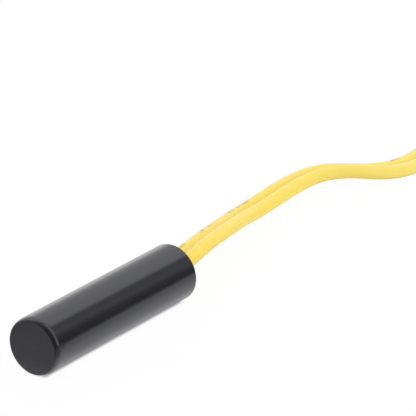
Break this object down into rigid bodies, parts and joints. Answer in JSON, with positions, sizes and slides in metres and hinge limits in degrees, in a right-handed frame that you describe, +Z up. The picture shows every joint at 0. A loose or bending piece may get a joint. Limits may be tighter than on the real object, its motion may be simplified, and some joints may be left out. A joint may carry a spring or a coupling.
{
  "type": "defrost sensor",
  "caption": "Potted thermistor probe in a slim closed tube, lying on its side, with a flat twin lead folded in a tied hank and ending in a two-way plug.",
  "frame": {"origin": "on the surface that the probe lies on, below the middle of the probe's length", "axes": "+X along the probe from its closed tip to the mouth that the lead leaves, +Z up"},
  "size_m": [0.1341, 0.0252, 0.0075],
  "materials": {
    "shell": "glossy moulded side, matt tip face",
    "resin": "set black epoxy",
    "bead_epoxy": "dipped brown epoxy",
    "ceramic": "sintered oxide, silvered faces",
    "tinned_wire": "tinned copper wire",
    "sleeve": "waxy insulating sleeve",
    "splice_metal": "tinned brass",
    "shrink_tube": "black shrink tube",
    "lead_jacket": "pale yellow soft jacket, satin",
    "copper_core": "stranded copper",
    "tie_nylon": "natural nylon",
    "contact_metal": "tinned phosphor bronze",
    "plug_nylon": "natural white nylon"
  },
  "bodies": {
    "root": {"probe_cap": "shell", "potting": "resin", "bead_coating": "bead_epoxy", "thermistor_chip": "ceramic", "thermistor_leg_a": "tinned_wire", "thermistor_leg_b": "tinned_wire", "leg_sleeve_a": "sleeve", "leg_sleeve_b": "sleeve", "splice_barrel_a": "splice_metal", "splice_barrel_b": "splice_metal", "splice_shrink_a": "shrink_tube", "splice_shrink_b": "shrink_tube", "probe_core_a": "copper_core", "probe_core_b": "copper_core", "lead_free": "lead_jacket", "lead_hank": "lead_jacket", "lead_tail": "lead_jacket", "hank_tie": "tie_nylon", "plug_core_a": "copper_core", "plug_core_b": "copper_core", "plug_contact_a": "contact_metal", "plug_contact_b": "contact_metal", "plug_housing": "plug_nylon"}
  },
  "joints": []
}
